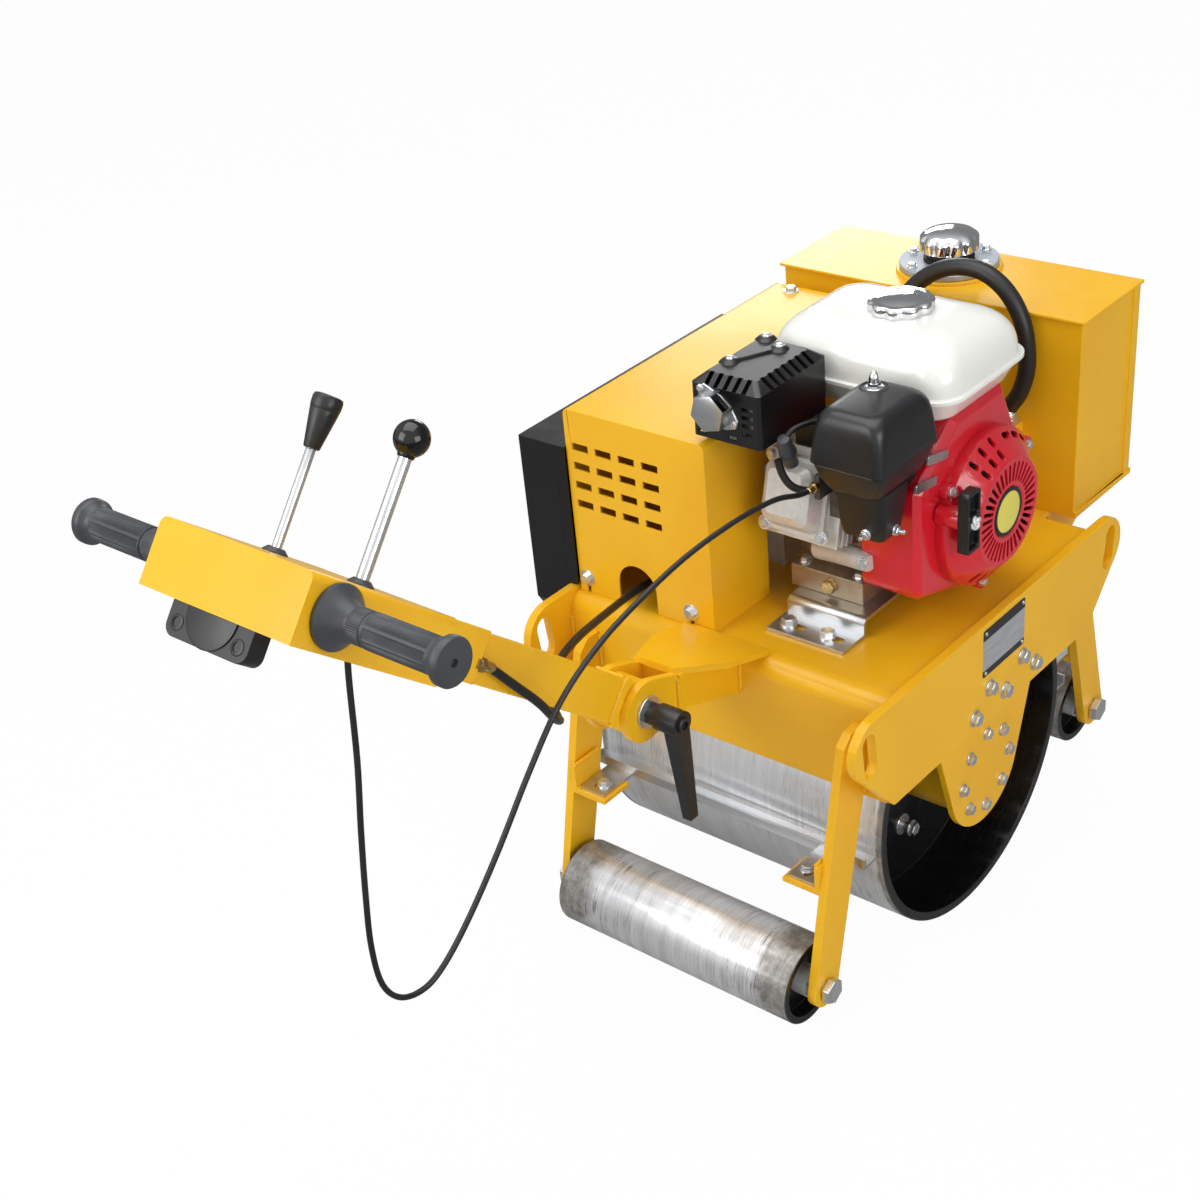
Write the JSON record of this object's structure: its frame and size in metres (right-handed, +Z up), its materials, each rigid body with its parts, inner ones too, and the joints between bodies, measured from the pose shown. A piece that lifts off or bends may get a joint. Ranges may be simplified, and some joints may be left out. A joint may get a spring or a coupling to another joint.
{
  "type": "walk-behind single-drum road roller",
  "caption": "Walk-behind road roller with a smooth steel drum, front and rear support rollers, petrol engine, oil tank, vented hood and a clamped tiller handle.",
  "frame": {"origin": "on the ground under the middle of the drum", "axes": "+X forward, away from the handle; +Y to the machine's left; +Z up"},
  "size_m": [1.3623, 0.5605, 0.9669],
  "materials": {
    "yellow_paint": "gloss",
    "drum_steel": "rolled",
    "zinc": "zinc plated",
    "black_paint": "satin",
    "black_plastic": "moulded",
    "black_rubber": "moulded",
    "cast_aluminium": "as cast",
    "red_paint": "gloss",
    "white_paint": "gloss",
    "chrome": "polished"
  },
  "bodies": {
    "frame": {"deck": "yellow_paint", "side_plate_left": "yellow_paint", "side_plate_right": "yellow_paint", "rear_legs": "yellow_paint", "front_legs": "yellow_paint", "rear_scraper": "zinc", "front_scraper": "zinc", "bearing_plates": "yellow_paint", "rear_roller_axle": "zinc", "front_roller_axle": "zinc", "handle_bracket": "yellow_paint", "pivot_pin": "zinc", "clamp_lever": "black_plastic", "hood": "yellow_paint", "belt_guard": "black_paint", "oil_tank": "yellow_paint", "tank_lid": "yellow_paint", "filler_flange": "zinc", "filler_cap": "chrome", "engine_bracket": "zinc", "crankcase": "cast_aluminium", "cylinder_block": "cast_aluminium", "valve_cover": "cast_aluminium", "fan_shroud": "red_paint", "recoil_cover": "red_paint", "cooling_fan": "black_plastic", "recoil_grip": "black_plastic", "fuel_tank": "white_paint", "fuel_cap": "chrome", "air_cleaner": "black_plastic", "carburettor": "cast_aluminium", "muffler": "black_paint", "pump": "cast_aluminium", "hydraulic_hose": "black_rubber", "throttle_cable": "black_rubber", "shift_cable": "black_rubber"},
    "drum": {"drum": "drum_steel"},
    "rear_roller": {"rear_roller": "drum_steel"},
    "front_roller": {"front_roller": "drum_steel"},
    "handle": {"handle_arm": "yellow_paint", "control_box": "yellow_paint", "handlebar": "zinc", "grips": "black_rubber", "drive_lever": "zinc", "throttle_lever": "zinc", "control_head": "black_plastic"}
  },
  "joints": [
    {"name": "drum_spin", "type": "hinge", "parent": "frame", "child": "drum", "pos_m": [0, 0, 0.2125], "axis": [0, 1, 0], "continuous": true},
    {"name": "rear_roller_spin", "type": "hinge", "parent": "frame", "child": "rear_roller", "pos_m": [-0.313, 0, 0.057], "axis": [0, 1, 0], "continuous": true},
    {"name": "front_roller_spin", "type": "hinge", "parent": "frame", "child": "front_roller", "pos_m": [0.35, 0, 0.095], "axis": [0, 1, 0], "continuous": true},
    {"name": "handle_tilt", "type": "hinge", "parent": "frame", "child": "handle", "pos_m": [-0.402, 0, 0.457], "axis": [0, 1, 0], "range_deg": [-15, 50], "deforming": ["throttle_cable", "shift_cable"]}
  ]
}
